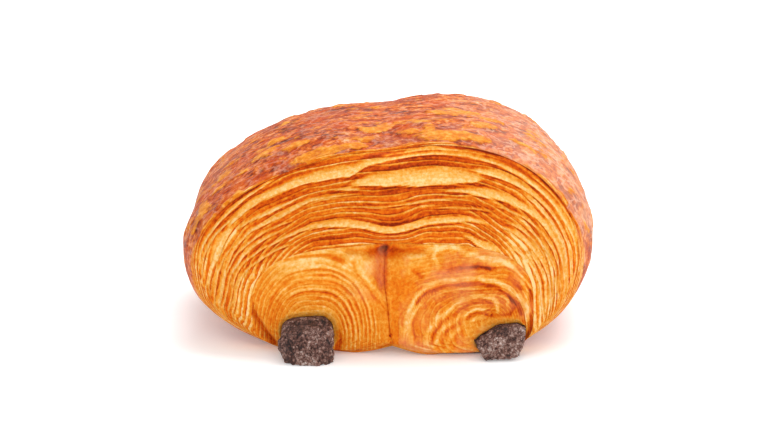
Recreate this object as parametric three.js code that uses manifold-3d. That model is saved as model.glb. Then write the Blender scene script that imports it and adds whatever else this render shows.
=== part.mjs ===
// Pain au chocolat: a sheet of laminated dough rolled from both sides round two sticks of
// chocolate, baked with the seam down. The outer sheet arches over both rolls, the edges of
// its layers show at the two ends, and the sticks run through and come out at both ends.
// Millimetres. +X runs across the two rolls, +Y along the sticks, +Z up. The origin is on the
// surface that it rests on, under the middle of its box.
import * as THREE from "three";
import { mergeVertices } from "three/addons/utils/BufferGeometryUtils.js";
import Module from "manifold-3d";

// Driving dimensions
const WIDTH = 89;
const HEIGHT = 46.4;
const DOUGH_LENGTH = 72;
const NOTCH = { x: 0.9, height: 2.3, reach: 9 }; // where the two rolls meet underneath
const SEAM = { depth: 1.6, width: 1.5 };
const SHEET_LAYERS = 6; // ridges across the outer sheet
const SHEET_RELIEF = 0.55;
const ROLL_LAYERS = 4; // ridges across each roll
const ROLL_RELIEF = 0.45;
const ROLL_BULGE = { left: 1.5, right: 1.3 }; // how far the rolls stand out of the ends
const ROLL_DOME = { x: 15, z: 10, radius: 17 }; // where they do, either side of the seam
const FOOT = { left: 0.4, right: 2.2, height: 14 }; // how far the ends stand out at the base
const VALLEY = { x: -1, depth: 1, reach: 7 }; // between the rolls, along the top
const LEDGE = { depth: 0.9, crease: 1.6, reach: 8 }; // the sheet's edge over the rolls
const LUMPS = { height: 0.8, size: 17 }; // slow unevenness of the baked crust
const CLEARANCE = 0.35; // between a stick and its tunnel

// Mesh size
const RING = 88; // points round the loaf
const SEAM_ROWS = 9;
const CRUST_ROWS = 10;
const SHEET_ROWS = 2 * SHEET_LAYERS;
const ROLL_ROWS = 2 * ROLL_LAYERS;

// Lopsided superellipses in the X-Z plane. The upper and lower halves each have a height and a
// power, lean lifts the right-hand side of the upper half, and shoulder swells it there.
const MIDDLE = { x: 0, z: 18.9 };
const BELLY = {
  ...MIDDLE,
  halfWidth: WIDTH / 2,
  rise: HEIGHT - MIDDLE.z - 0.3,
  drop: MIDDLE.z + 4.5,
  topPower: 2.04,
  basePower: 2.1,
  lean: 0.08,
  shoulder: 0.03,
};
const POCKET = {
  x: 0.8,
  z: 11.1,
  halfWidth: 29.6,
  rise: 12.7,
  drop: 10.8,
  topPower: 2.7,
  basePower: 4.5,
  lean: 0.03,
  shoulder: 0,
};
const SHOULDER = { angle: 0.85, spread: 0.4 };

// How square the dough is in side view at the top, the sides and the base, and where its crust
// turns to layers, as a share of the way from MIDDLE to the belly.
const PROFILE_POWER = { top: 3.3, side: 4.6, base: 7.1 };
const RIM_SHARE = { top: 0.87, side: 0.915 };

// The sticks: where they run inside the dough, their section, and where they end.
const STICK_POWER = 3;
const STICK_SAG = 1.1; // how far the free ends sink to the surface
const STICKS = {
  chocolate_left: { x: -16.4, z: 5, halfWidth: 6.2, halfHeight: 3.5, tilt: 0.06, from: -43, to: 39.5 },
  chocolate_right: { x: 23.2, z: 5, halfWidth: 5.3, halfHeight: 3.2, tilt: 0.2, from: -40.5, to: 43 },
};
const STICK_SIDES = 22;
const STRAIGHT = DOUGH_LENGTH / 2 + 2.4; // the sticks are straight up to here from the middle

const clamp01 = (t) => Math.min(1, Math.max(0, t));
const mix = (a, b, t) => a + (b - a) * t;
const smooth = (t) => clamp01(t) ** 2 * (3 - 2 * clamp01(t));
const bell = (t) => Math.exp(-t * t);
const range = (count) => Array.from({ length: count }, (_, n) => n);

// Smooth seeded noise from -1 to 1 in three dimensions.
function hash(i, j, k, seed) {
  let h = Math.imul(i, 374761393) + Math.imul(j, 668265263);
  h += Math.imul(k, 2147483647) + Math.imul(seed, 1274126177);
  h = Math.imul(h ^ (h >>> 13), 1274126177);
  return ((h ^ (h >>> 16)) >>> 0) / 2147483648 - 1;
}

function noise(x, y, z, seed) {
  const [i, j, k] = [Math.floor(x), Math.floor(y), Math.floor(z)];
  const [u, v, w] = [smooth(x - i), smooth(y - j), smooth(z - k)];
  const row = (b, c) => mix(hash(i, j + b, k + c, seed), hash(i + 1, j + b, k + c, seed), u);
  return mix(mix(row(0, 0), row(1, 0), v), mix(row(0, 1), row(1, 1), v), w);
}

// A point of a lopsided superellipse at an angle from +X towards +Z.
function outlinePoint(shape, angle) {
  const [c, s] = [Math.cos(angle), Math.sin(angle)];
  const power = 2 / (s >= 0 ? shape.topPower : shape.basePower);
  const swell = 1 + shape.shoulder * bell((angle - SHOULDER.angle) / SHOULDER.spread);
  const x = shape.halfWidth * Math.sign(c) * Math.abs(c) ** power * swell;
  const z = (s >= 0 ? shape.rise : shape.drop) * Math.sign(s) * Math.abs(s) ** power * swell;
  return { x: shape.x + x, z: shape.z + z + shape.lean * x * Math.max(0, s) };
}

// Angles that space the ring's points evenly along the belly, from the middle of the base
// round by +X.
function ringAngles() {
  const fine = 4000;
  const angleOf = (n) => -Math.PI / 2 + (2 * Math.PI * n) / fine;
  const lengths = [0];
  for (let n = 1; n <= fine; n++) {
    const [a, b] = [outlinePoint(BELLY, angleOf(n - 1)), outlinePoint(BELLY, angleOf(n))];
    lengths.push(lengths[n - 1] + Math.hypot(b.x - a.x, b.z - a.z));
  }
  return range(RING).map((n) => {
    const want = (n / RING) * lengths[fine];
    return angleOf(lengths.findIndex((length) => length >= want));
  });
}

function profilePower(angle) {
  const s = Math.sin(angle);
  const end = s > 0 ? PROFILE_POWER.top : PROFILE_POWER.base;
  return mix(PROFILE_POWER.side, end, Math.abs(s) ** 1.5);
}

const rimShare = (angle) => mix(RIM_SHARE.side, RIM_SHARE.top, Math.max(0, Math.sin(angle)) ** 2);
const depthAt = (share, power) => (DOUGH_LENGTH / 2) * (1 - share ** power) ** (1 / power);
const shareAt = (y, power) => (1 - Math.abs((2 * y) / DOUGH_LENGTH) ** power) ** (1 / power);
const reach = (edge) => Math.hypot(edge.x - MIDDLE.x, edge.z - MIDDLE.z);
const fromMiddle = (edge, share) => ({
  x: mix(MIDDLE.x, edge.x, share),
  z: mix(MIDDLE.z, edge.z, share),
});

// A point of the outer sheet at an end: part 0 is its inner edge over the rolls, 1 the rim.
function sheetPoint(angle, part, side) {
  const belly = outlinePoint(BELLY, angle);
  const inner = outlinePoint(POCKET, angle);
  const rim = fromMiddle(belly, rimShare(angle));
  const share = mix(reach(inner) / reach(belly), rimShare(angle), part);
  return {
    x: mix(inner.x, rim.x, part),
    y: side * depthAt(share, profilePower(angle)),
    z: mix(inner.z, rim.z, part),
  };
}

const leftToRight = ({ left, right }, x) => mix(left, right, smooth(0.5 + x / 20));
const footShare = (x, z) => (2 * leftToRight(FOOT, x) * (1 - smooth(z / FOOT.height))) / DOUGH_LENGTH;

// How far from the middle of the loaf the bare end lies at a place on it.
function endDepth(x, z) {
  const up = z > MIDDLE.z;
  const power = up ? BELLY.topPower : BELLY.basePower;
  const across = Math.abs(x - MIDDLE.x) / BELLY.halfWidth;
  const rise = Math.abs(z - MIDDLE.z) / (up ? BELLY.rise : BELLY.drop);
  const share = (across ** power + rise ** power) ** (1 / power);
  const angle = (up ? 1 : -1) * Math.asin(clamp01((rise / share) ** (power / 2)));
  return depthAt(share, profilePower(angle)) * (1 + footShare(x, z));
}

// The loaf on its surface: flat where it rests, with a hollow where the two rolls meet, ends
// that stand out at the foot, and a shallow valley along the top.
function settle({ x, y, z }) {
  const up = Math.max(0, z);
  const hollow = NOTCH.height * clamp01(1 - Math.abs(x - NOTCH.x) / NOTCH.reach) ** 1.5;
  const valley = VALLEY.depth * bell((x - VALLEY.x) / VALLEY.reach) * smooth(z / 15 - 1.6);
  const raised = up + hollow * clamp01(1 - up / 9) - valley;
  return new THREE.Vector3(x, y * (1 + footShare(x, up)), raised);
}

// The outline of a stick, or of its tunnel where grow is the clearance.
function stickOutline(stick, angle, size, grow) {
  const [c, s] = [Math.cos(angle), Math.sin(angle)];
  const x = (stick.halfWidth * size + grow) * Math.sign(c) * Math.abs(c) ** (2 / STICK_POWER);
  const z = (stick.halfHeight * size + grow) * Math.sign(s) * Math.abs(s) ** (2 / STICK_POWER);
  return {
    x: stick.x + x * Math.cos(stick.tilt) - z * Math.sin(stick.tilt),
    z: stick.z + z * Math.cos(stick.tilt) + x * Math.sin(stick.tilt),
  };
}

// Relief across the outer sheet: a ridge for each layer, and a step down to the rolls that is
// deepest above the seam.
function sheetRelief(row, point) {
  const part = row / SHEET_ROWS;
  const swell = 1 + 0.5 * noise(point.x / 13, row, point.z / 13, 5);
  const ridge = (row % 2 ? 1 : -1) * SHEET_RELIEF * swell * smooth(6 * part) * smooth(7 - 7 * part);
  return ridge - ledgeDepth(point) * (1 - smooth(6 * part));
}

const ledgeDepth = ({ x, z }) => (LEDGE.depth + LEDGE.crease * bell(x / LEDGE.reach)) * smooth(z / 8);

// How far a roll stands out: part 0 is its outer edge, and 1 the mouth of the tunnel. It has a
// ridge for each layer, except beside the seam, where the dough is smooth.
function rollRelief(row, point) {
  const part = row / ROLL_ROWS;
  const fromSeam = Math.abs(point.x - NOTCH.x);
  const swell = 1 + 0.5 * noise(point.x / 11, row, point.z / 11, 8);
  const ridge = (row % 2 ? 1 : -1) * ROLL_RELIEF * swell * smooth(fromSeam / 8 - 0.2) * smooth(point.z / 3);
  const off = Math.hypot(fromSeam - ROLL_DOME.x, point.z - ROLL_DOME.z) / ROLL_DOME.radius;
  const bulge = leftToRight(ROLL_BULGE, point.x) * smooth(1.2 - off);
  const top = ledgeDepth(point) * smooth(point.z / 6 - 3);
  return bulge + ridge - SEAM.depth * bell(fromSeam / SEAM.width) - top * bell(part * 5);
}

function lumps({ x, y, z }) {
  const { height, size } = LUMPS;
  return height * noise(x / size, y / size, z / size, 3) * smooth(z / 10);
}

// The dough as one closed skin. At each end, rings of the outer sheet run from the rim in to
// the rolls, and loops round each half of what is left run in to the mouth of its tunnel. Rings
// of crust join the ends on the outside, and the tunnel walls join them inside.
function doughGeometry() {
  const angles = ringAngles();
  const points = [];
  const relief = [];
  const faces = [];
  const add = (point, height) => {
    points.push(point);
    relief.push(height);
    return points.length - 1;
  };
  const strip = (from, to) => {
    for (const n of range(from.length)) {
      const m = (n + 1) % from.length;
      faces.push([from[n], from[m], to[m]], [from[n], to[m], to[n]]);
    }
  };

  const sheetRing = (row, side) => angles.map((angle) => {
    const point = sheetPoint(angle, row / SHEET_ROWS, side);
    return add(settle(point), sheetRelief(row, point) + lumps(point));
  });

  const seamLine = (ring, side) => range(SEAM_ROWS).map((n) => {
    const part = (n + 1) / (SEAM_ROWS + 1);
    const point = points[ring[RING / 2]].clone().lerp(points[ring[0]], part);
    point.y = side * (endDepth(point.x, point.z) + rollRelief(0, point));
    return add(point, 0);
  });

  const rollLoop = (row, edge, stick, side) => edge.map((start) => {
    const angle = Math.atan2(points[start].z - stick.z, points[start].x - stick.x) - stick.tilt;
    const { x, z } = stickOutline(stick, angle, 1, CLEARANCE);
    const point = points[start].clone().lerp(new THREE.Vector3(x, 0, z), row / ROLL_ROWS);
    const relief = row < ROLL_ROWS ? rollRelief(row, point) : 0;
    point.y = side * (endDepth(point.x, point.z) + relief);
    return add(point, 0);
  });

  const end = (side) => {
    const rings = range(SHEET_ROWS + 1).map((row) => sheetRing(row, side));
    const inner = rings[0];
    const down = seamLine(inner, side);
    const edges = {
      chocolate_right: [...inner.slice(0, RING / 2 + 1), ...down],
      chocolate_left: [inner[0], ...[...down].reverse(), ...inner.slice(RING / 2)],
    };
    const rolls = Object.entries(edges).map(([name, edge]) => [
      edge,
      ...range(ROLL_ROWS).map((row) => rollLoop(row + 1, edge, STICKS[name], side)),
    ]);
    return { rings, rolls };
  };

  const front = end(-1);
  const back = end(1);
  for (const row of range(SHEET_ROWS)) {
    strip(front.rings[row + 1], front.rings[row]);
    strip(back.rings[row], back.rings[row + 1]);
  }
  front.rolls.forEach((loops, n) => {
    for (const row of range(ROLL_ROWS)) {
      strip(loops[row], loops[row + 1]);
      strip(back.rolls[n][row + 1], back.rolls[n][row]);
    }
    strip(loops[ROLL_ROWS], back.rolls[n][ROLL_ROWS]);
  });

  const crustRing = (across) => angles.map((angle) => {
    const power = profilePower(angle);
    const y = depthAt(rimShare(angle), power) * across;
    const point = { ...fromMiddle(outlinePoint(BELLY, angle), shareAt(y, power)), y };
    return add(settle(point), lumps(point));
  });
  const crustRings = range(CRUST_ROWS - 1).map((row) => crustRing((2 * (row + 1)) / CRUST_ROWS - 1));
  const outside = [front.rings[SHEET_ROWS], ...crustRings, back.rings[SHEET_ROWS]];
  for (const row of range(CRUST_ROWS)) strip(outside[row + 1], outside[row]);

  const geometry = new THREE.BufferGeometry().setFromPoints(points).setIndex(faces.flat());
  geometry.computeVertexNormals();
  const normals = geometry.getAttribute("normal");
  points.forEach((point, n) => {
    const normal = new THREE.Vector3().fromBufferAttribute(normals, n);
    if (point.z > 0.05) point.addScaledVector(normal, relief[n]);
    point.z = Math.max(0, point.z);
  });
  return geometry.setFromPoints(points);
}

// A stick: straight inside the dough, with free ends that are uneven, sink and round off.
function stickGeometry(stick) {
  const roundings = [0, 0.4, 1.3];
  const stations = [
    ...roundings.map((step) => stick.from + step),
    ...[-STRAIGHT, 0, STRAIGHT],
    ...roundings.map((step) => stick.to - step).reverse(),
  ];
  const points = [];
  const faces = [];
  for (const y of stations) {
    const free = smooth((Math.abs(y) - STRAIGHT) / 3);
    const end = Math.min(y - stick.from, stick.to - y);
    for (const n of range(STICK_SIDES)) {
      const angle = (2 * Math.PI * n) / STICK_SIDES;
      const lump = 0.05 * free * noise(2 * Math.cos(angle), y / 3, 2 * Math.sin(angle), 11);
      const size = (1 - 0.2 * bell(end / 0.8)) * (1 + 0.04 * free + lump);
      const { x, z } = stickOutline(stick, angle, size, 0);
      points.push(new THREE.Vector3(x, y, Math.max(z - STICK_SAG * free, 0.02)));
    }
  }
  const rows = stations.length;
  const at = (row, n) => row * STICK_SIDES + (n % STICK_SIDES);
  for (const row of range(rows - 1))
    for (const n of range(STICK_SIDES)) {
      faces.push([at(row, n), at(row + 1, n + 1), at(row, n + 1)]);
      faces.push([at(row, n), at(row + 1, n), at(row + 1, n + 1)]);
    }
  for (let n = 1; n < STICK_SIDES - 1; n++) {
    faces.push([at(0, 0), at(0, n), at(0, n + 1)]);
    faces.push([at(rows - 1, 0), at(rows - 1, n + 1), at(rows - 1, n)]);
  }
  return new THREE.BufferGeometry().setFromPoints(points).setIndex(faces.flat());
}

const wasm = await Module();
wasm.setup();

function toSolid(geometry) {
  const bare = geometry.clone();
  bare.deleteAttribute("normal");
  const merged = mergeVertices(bare, 1e-4);
  return new wasm.Manifold(new wasm.Mesh({
    numProp: 3,
    vertProperties: merged.getAttribute("position").array,
    triVerts: new Uint32Array(merged.index.array),
  }));
}

function toGeometry(solid) {
  const mesh = solid.getMesh();
  const geometry = new THREE.BufferGeometry();
  geometry.setAttribute("position", new THREE.BufferAttribute(mesh.vertProperties, 3));
  geometry.setIndex(new THREE.BufferAttribute(mesh.triVerts, 1));
  geometry.computeVertexNormals();
  return geometry;
}

const crust = new THREE.MeshStandardMaterial({ color: 0xd9833c, roughness: 0.45, metalness: 0 });
const chocolate = new THREE.MeshStandardMaterial({ color: 0x4a2f28, roughness: 0.6, metalness: 0 });

const painAuChocolat = new THREE.Group();
const shapes = { pastry: [doughGeometry(), crust] };
for (const [name, stick] of Object.entries(STICKS)) shapes[name] = [stickGeometry(stick), chocolate];
for (const [name, [geometry, material]] of Object.entries(shapes)) {
  const mesh = new THREE.Mesh(toGeometry(toSolid(geometry)), material);
  mesh.name = name;
  painAuChocolat.add(mesh);
}

export default painAuChocolat;
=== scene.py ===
"""A pain au chocolat on a white table: layered dough rolled round two chocolate sticks."""

import math

import bpy
import numpy as np
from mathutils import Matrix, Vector


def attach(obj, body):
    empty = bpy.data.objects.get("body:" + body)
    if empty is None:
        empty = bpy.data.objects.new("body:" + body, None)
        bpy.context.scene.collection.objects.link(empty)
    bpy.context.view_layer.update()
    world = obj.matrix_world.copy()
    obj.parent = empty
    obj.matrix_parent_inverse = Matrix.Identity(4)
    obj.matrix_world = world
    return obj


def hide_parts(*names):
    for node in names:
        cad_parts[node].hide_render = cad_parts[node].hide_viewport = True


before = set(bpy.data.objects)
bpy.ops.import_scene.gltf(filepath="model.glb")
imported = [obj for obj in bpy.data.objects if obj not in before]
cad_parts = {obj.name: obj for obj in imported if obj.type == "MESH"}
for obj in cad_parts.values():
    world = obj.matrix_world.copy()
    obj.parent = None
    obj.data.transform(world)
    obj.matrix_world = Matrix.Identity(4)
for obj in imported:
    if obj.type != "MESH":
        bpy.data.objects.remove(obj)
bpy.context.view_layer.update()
scene = bpy.context.scene

# Sizes are in millimetres and the meshes in metres. The loaf's own sizes are those of the solids,
# apart from its right foot, its ledge, the tunnels' clearance and the lean of its flanks.
MM = 0.001
DOUGH_LENGTH = 72.0
ROUND_LENGTH = 225.0
NOTCH = {"x": 0.9, "height": 2.3, "reach": 9.0}
SEAM_DEPTH = 1.6
ROLL_BULGE = {"left": 1.5, "right": 1.3}
ROLL_DOME = {"x": 15.0, "z": 10.0, "radius": 17.0}
FOOT = {"left": 0.4, "right": 3.2, "height": 14.0}
VALLEY = {"x": -1.0, "depth": 1.0, "reach": 7.0}
LEDGE = {"depth": 2.0, "reach": 5.5}
LUMPS = {"height": 0.8, "size": 17.0}
CLEARANCE = 0.08
# How far each flank leans to the left: the most, how high that is, and its spread.
FLANK_LEANS = {"right": (0.8, 14.0, 10.0), "left": (0.9, 7.0, 6.0)}
MIDDLE = np.array([0.0, 18.9])
BELLY = {
    "x": 0.0, "z": 18.9, "half_width": 44.5, "rise": 27.2, "drop": 23.4,
    "top_power": 2.04, "base_power": 2.1, "lean": 0.08, "shoulder": 0.03,
}
POCKET = {
    "x": 0.8, "z": 11.1, "half_width": 29.6, "rise": 12.7, "drop": 10.8,
    "top_power": 2.7, "base_power": 4.5, "lean": 0.03, "shoulder": 0.0,
}
SHOULDER = {"angle": 0.85, "spread": 0.4}
PROFILE_POWER = {"top": 3.3, "side": 4.6, "base": 7.1}
RIM_SHARE = {"top": 0.87, "side": 0.915}
STICK_POWER = 3.0
# The sticks' free ends sag, and their low edges melt on to the table up to a height.
STICK_SAG = 1.1
MELT_HEIGHT = 3.2
MELT_DROP = 1.3
MELT = {
    "chocolate_left": {"forward": 1.9, "sideways": 1.5},
    "chocolate_right": {"forward": 1.6, "sideways": -0.8},
}
STICKS = {
    "chocolate_left": {
        "x": -16.4, "z": 5.0, "half_width": 6.2, "half_height": 3.5, "tilt": 0.06,
        "start": -43.0, "stop": 39.5,
    },
    "chocolate_right": {
        "x": 23.2, "z": 5.0, "half_width": 5.3, "half_height": 3.2, "tilt": 0.2,
        "start": -40.5, "stop": 43.0,
    },
}
# How far from the middle of the loaf the sticks still keep straight.
STRAIGHT = DOUGH_LENGTH / 2 + 2.4
# Crags of the sticks' ends as heights and sizes, the cracks between them, and how far the ends
# narrow and bulge.
CRAGS = ((0.32, 2.2), (0.22, 1.0), (0.20, 0.5))
CRACK = {"depth": 0.30, "size": 1.2, "width": 0.12}
STICK_TIP = {"narrowing": 0.22, "over": 0.9, "bulge": 0.25}

# How finely each part of the dough and the sticks is divided.
RING = 480
SHEET_ROWS = 64
CRUST_ROWS = 110
SEAM_ROWS = 54
ROLL_ROWS = 56
TUNNEL_RINGS = (-33.0, -10.0, 10.0, 33.0)
ROLL_LAYER_COUNT = 14
STICK_SIDES = 128
STICK_CAP_ROWS = 18
STICK_STEP = 0.28

# Each end's seed, and how far its layers stray from those given below.
FRONT = {"sheet": (100, 0.0), "roll": (300, 0.0)}
BACK = {"sheet": (500, 0.03), "roll": (700, 0.05)}
CRUST_SEED = 40
LUMP_SEED = 3
STICK_SEEDS = {"chocolate_left": 900, "chocolate_right": 950}
# Where the rolls take their layers' shades from, away from those of the sheet.
ROLL_SHADES = 40

# The pale, stretched layers of the front end. Each is a run of places, in percent: the share of
# the way round the loaf from the middle of its base by the right, the share of the way across
# the outer sheet from the rolls to the rim, and the layer's width as such a share.
PALE_LAYERS = [
    [(20, 99, 3), (25, 97, 5), (30, 90, 7), (35, 90, 6), (40, 92, 4), (45, 93, 3), (51, 93, 4),
     (53, 91, 6), (55, 84, 12), (60, 86, 11), (65, 84.5, 9), (68, 82.5, 8), (71, 78, 3)],
    [(38, 96.5, 1), (45, 96.5, 2.5), (52, 96.5, 1)],
    [(26, 99, 2), (30, 96.5, 2.5), (36, 96, 1)],
    [(18, 99, 3), (22, 90, 4), (25, 83, 4.5), (28, 80.5, 4.5), (35, 80, 5.5), (38, 81, 7), (40, 81, 7),
     (42.5, 79, 2)],
    [(19, 94, 3), (22, 84, 3), (25, 76.5, 3.5), (29, 72, 4), (33, 72.5, 4.5), (36, 73, 1)],
    [(18, 93, 3), (20, 87, 4), (22, 77.5, 5), (25, 69, 6), (27, 65, 6.5), (30, 63, 7.5), (35, 61, 8),
     (38, 60, 9), (40, 59.5, 10), (43, 57.5, 5), (46, 56, 1)],
    [(40, 74, 2), (42, 72, 11), (45, 71.5, 18), (48, 71, 17.5), (50, 73.5, 16), (52, 74.5, 12.5),
     (54, 72, 7), (55.6, 69, 0)],
    [(53, 64.5, 2), (55, 65.5, 4), (58, 67.5, 1)],
    [(53, 58.5, 1), (58, 60, 4), (60, 61, 6), (62, 57, 6), (64, 53, 5), (66, 53, 5), (68, 55.5, 5.5),
     (70, 52.5, 4), (73, 50, 4), (75, 51.5, 4.5), (77.5, 61, 5), (80, 76, 5), (81.5, 84, 3)],
    [(61, 66, 2), (65, 64.5, 7), (67, 66, 5), (70, 67, 1)],
    [(69, 74, 1), (70, 74, 6), (71.5, 74, 13), (73, 72, 15), (74, 72, 13), (75, 74, 8), (76.5, 79, 5),
     (79, 88, 3), (80.5, 95, 1)],
    [(63, 99, 3), (66, 95.5, 4), (68, 93, 4), (70, 92, 4), (72, 93, 5), (74, 95.5, 5), (76.5, 98.5, 4)],
    [(68, 80, 1), (72, 86, 4.5), (74, 88.5, 5), (76, 93, 4.5), (78.5, 98.5, 3)],
    [(71, 56, 2), (74.5, 60, 4.5), (76, 65.5, 5), (77.5, 71, 5), (79, 78, 5.5), (80, 87, 5.5),
     (81.5, 94, 3)],
    [(19, 76, 2), (22, 60, 3), (25, 51, 3.5), (27, 46, 3.5), (30, 43, 4.5), (34, 43, 2)],
    [(18, 84, 3), (22, 67, 3.5), (25, 59, 3.5), (27, 55, 3.5), (30, 52, 3), (35, 50, 3), (39, 48.5, 1)],
    [(18, 66, 3), (20, 55, 4), (22, 45, 4.5), (25, 36, 4.5), (27, 32, 4.5), (29, 29, 4.5), (31, 28.5, 5),
     (33, 29.5, 6), (35, 29.5, 5.5), (38, 28, 1)],
    [(18, 50, 3), (22, 26, 5), (25, 16.5, 6), (28, 13, 6), (33, 12, 5), (35, 12, 2)],
    [(26, 23, 2), (30, 20.5, 3), (33, 21, 2)],
    [(28, 37, 2), (31, 36, 3), (35, 37, 3), (38, 37, 1)],
    [(39, 27.5, 2), (42, 29, 5), (44, 27.5, 6.5), (46, 26, 7), (48, 24, 7), (49.5, 20, 8), (50.7, 17, 8),
     (52, 20.5, 8), (53.5, 24.5, 9), (55, 27, 9), (57, 28.5, 8), (59, 29.5, 6), (61, 28.5, 4.5),
     (65, 25, 4), (68, 23, 2)],
    [(64, 36, 2), (68, 36, 5.5), (72, 36, 5.5), (75, 42, 4.5), (77.5, 52, 4), (80, 67, 4), (82, 76, 2)],
    [(62, 42, 1), (66, 44, 3), (70, 43, 3.5), (74, 46, 3), (77, 55.5, 3), (80, 71, 3)],
    [(63, 15, 2), (68, 15, 4), (71, 17, 3.5), (75, 26, 4), (77.5, 36, 4), (80, 50, 4), (82, 60, 2)],
    [(66, 25, 2), (70, 26.5, 3.5), (75, 34, 3.5), (77.5, 43, 3.5), (80, 58, 3)],
    [(42, 49, 1), (46, 47, 2.5), (52, 45, 2), (56, 46, 1)],
    [(38, 42, 1), (43, 40, 2.5), (47, 38.5, 1)],
    [(36, 2, 4), (37, 3, 6), (39, 4, 9), (40.5, 5, 8), (42, 10, 5), (43.5, 12, 2)],
]

# How many layers the outer sheet shows, by the place round the loaf, and how far they run out
# over the rim low down.
LAYER_COUNTS = ([0.0, 0.22, 0.30, 0.36, 0.42, 0.60, 0.66, 0.72, 1.0], [10, 10, 12, 14, 17, 17, 14, 11, 10])
LAYER_SHIFTS = ([0.0, 0.20, 0.22, 0.25, 0.30, 0.70, 0.75, 0.775, 0.80, 0.84, 1.0],
                [0.5, 0.26, 0.16, 0.08, 0.0, 0.0, 0.07, 0.16, 0.30, 0.4, 0.5])

# Browner places of the front end, in percent: place round, place across, half length, half
# width, strength.
BROWN_PLACES = [
    (48, 85, 6, 3.5, 70), (50.5, 62, 2.2, 4, 100), (49, 60, 7, 3, 60), (55, 76, 3, 2, 60),
    (43, 66, 3, 2, 50), (50.5, 26, 1, 6, 75), (49, 35, 9, 3, 35), (62, 75, 5, 3.5, 55),
    (58, 12, 3.5, 3, 80), (70, 10, 3, 3, 60), (36.5, 21, 1, 3, 60), (45, 14, 5, 4, 35),
    (54, 47, 3, 2.5, 30),
]

# Where the layers of each roll have their middle, and how far they reach to each side.
ROLLS = {
    "chocolate_left": {
        "x": -15.0, "z": 3.0, "core": (-15.5, 3.5), "left": 12.5, "right": 11.4, "up": 16.2, "power": 2.4,
    },
    "chocolate_right": {
        "x": 19.5, "z": 4.0, "core": (22.8, 8.4), "left": 17.5, "right": 10.0, "up": 12.8, "power": 2.4,
    },
}
# The layers that show most in each roll: reach, from and to an angle in degrees, width, and how
# pale.
ROLL_LAYERS = {
    "chocolate_left": [
        (1.00, 15, 120, 0.04, 0.9), (0.94, 60, 140, 0.03, 0.6), (0.87, 20, 115, 0.03, 0.8),
        (0.72, 5, 122, 0.04, 1.0), (0.63, 20, 90, 0.03, 0.6), (0.79, 0, 70, 0.03, 0.7),
        (0.93, -10, 40, 0.03, 0.7), (1.08, -10, 35, 0.03, 0.6), (0.56, 10, 60, 0.025, 0.6),
    ],
    "chocolate_right": [
        (1.22, 30, 110, 0.04, 0.5), (0.88, 150, 195, 0.04, 0.6), (0.79, 60, 150, 0.03, 0.5),
        (0.34, 80, 170, 0.04, 0.6), (0.24, 80, 170, 0.04, 0.5), (0.90, 5, 50, 0.03, 0.7),
    ],
}
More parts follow.
